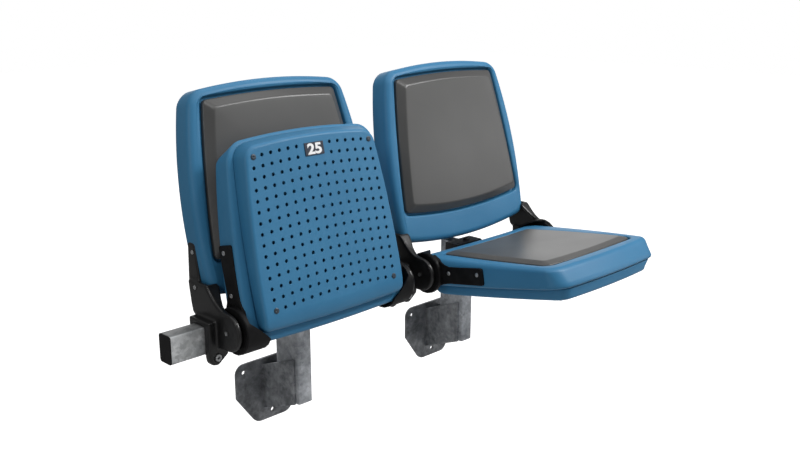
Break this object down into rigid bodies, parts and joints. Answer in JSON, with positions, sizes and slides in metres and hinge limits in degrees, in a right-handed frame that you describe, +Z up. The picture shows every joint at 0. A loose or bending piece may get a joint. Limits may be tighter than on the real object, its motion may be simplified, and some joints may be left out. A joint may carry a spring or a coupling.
{
  "type": "stadium seat row",
  "caption": "Row of tip-up stadium seats with padded moulded shells, hinged on black arms clamped to a galvanised beam on wall-bracketed posts.",
  "frame": {"origin": "middle of the left wall plate's rear face, where it lies on the wall", "axes": "+X along the beam from the left seat to the right seat, +Y out of the wall plate's rear face into the wall, +Z up; the seats face -Y"},
  "size_m": [1.241, 0.5905, 0.7998],
  "materials": {
    "galvanised_steel": "hot-dip galvanised, spangled, dull",
    "black_casting": "black semi-gloss coating on a casting",
    "black_plastic": "black moulded nylon, satin",
    "blue_shell": "blue moulded polypropylene, satin with fine grain",
    "grey_pad": "dark grey satin vinyl over foam",
    "zinc_screw": "zinc plated",
    "black_screw": "black zinc"
  },
  "bodies": {
    "row_frame": {"beam": "galvanised_steel", "beam_cap_left": "black_plastic", "post_left": "galvanised_steel", "wall_bracket_left": "galvanised_steel", "saddle_clamp_left": "black_casting", "saddle_bolt_left": "black_screw", "beam_cap_right": "black_plastic", "post_right": "galvanised_steel", "wall_bracket_right": "galvanised_steel", "saddle_clamp_right": "black_casting", "saddle_bolt_right": "black_screw", "left_seat_arm_left": "black_casting", "left_seat_clamp_jaw_left": "black_casting", "left_seat_clamp_screw_left": "zinc_screw", "left_seat_pivot_pin_left": "zinc_screw", "left_seat_lower_strap_screw_left": "zinc_screw", "left_seat_upper_strap_screw_left": "zinc_screw", "left_seat_arm_right": "black_casting", "left_seat_clamp_jaw_right": "black_casting", "left_seat_clamp_screw_right": "zinc_screw", "left_seat_pivot_pin_right": "zinc_screw", "left_seat_lower_strap_screw_right": "zinc_screw", "left_seat_upper_strap_screw_right": "zinc_screw", "left_seat_back_shell": "blue_shell", "left_seat_back_panel": "blue_shell", "left_seat_back_pad": "grey_pad", "right_seat_arm_left": "black_casting", "right_seat_clamp_jaw_left": "black_casting", "right_seat_clamp_screw_left": "zinc_screw", "right_seat_pivot_pin_left": "zinc_screw", "right_seat_lower_strap_screw_left": "zinc_screw", "right_seat_upper_strap_screw_left": "zinc_screw", "right_seat_arm_right": "black_casting", "right_seat_clamp_jaw_right": "black_casting", "right_seat_clamp_screw_right": "zinc_screw", "right_seat_pivot_pin_right": "zinc_screw", "right_seat_lower_strap_screw_right": "zinc_screw", "right_seat_upper_strap_screw_right": "zinc_screw", "right_seat_back_shell": "blue_shell", "right_seat_back_panel": "blue_shell", "right_seat_back_pad": "grey_pad"},
    "left_seat_swing": {"left_seat_hinge_bracket_left": "black_plastic", "left_seat_bush_left": "black_plastic", "left_seat_hinge_bracket_right": "black_plastic", "left_seat_bush_right": "black_plastic", "left_seat_shell": "blue_shell", "left_seat_pan": "blue_shell", "left_seat_pad": "grey_pad", "left_seat_number_plate": "black_plastic"},
    "right_seat_swing": {"right_seat_hinge_bracket_left": "black_plastic", "right_seat_bush_left": "black_plastic", "right_seat_hinge_bracket_right": "black_plastic", "right_seat_bush_right": "black_plastic", "right_seat_shell": "blue_shell", "right_seat_pan": "blue_shell", "right_seat_pad": "grey_pad"}
  },
  "joints": [
    {"name": "left_seat_hinge", "type": "hinge", "parent": "row_frame", "child": "left_seat_swing", "pos_m": [0, -0.197, 0.2515], "axis": [1, 0, 0], "range_deg": [0, 93]},
    {"name": "right_seat_hinge", "type": "hinge", "parent": "row_frame", "child": "right_seat_swing", "pos_m": [0.55, -0.197, 0.2515], "axis": [-1, 0, 0], "range_deg": [0, 93]}
  ]
}
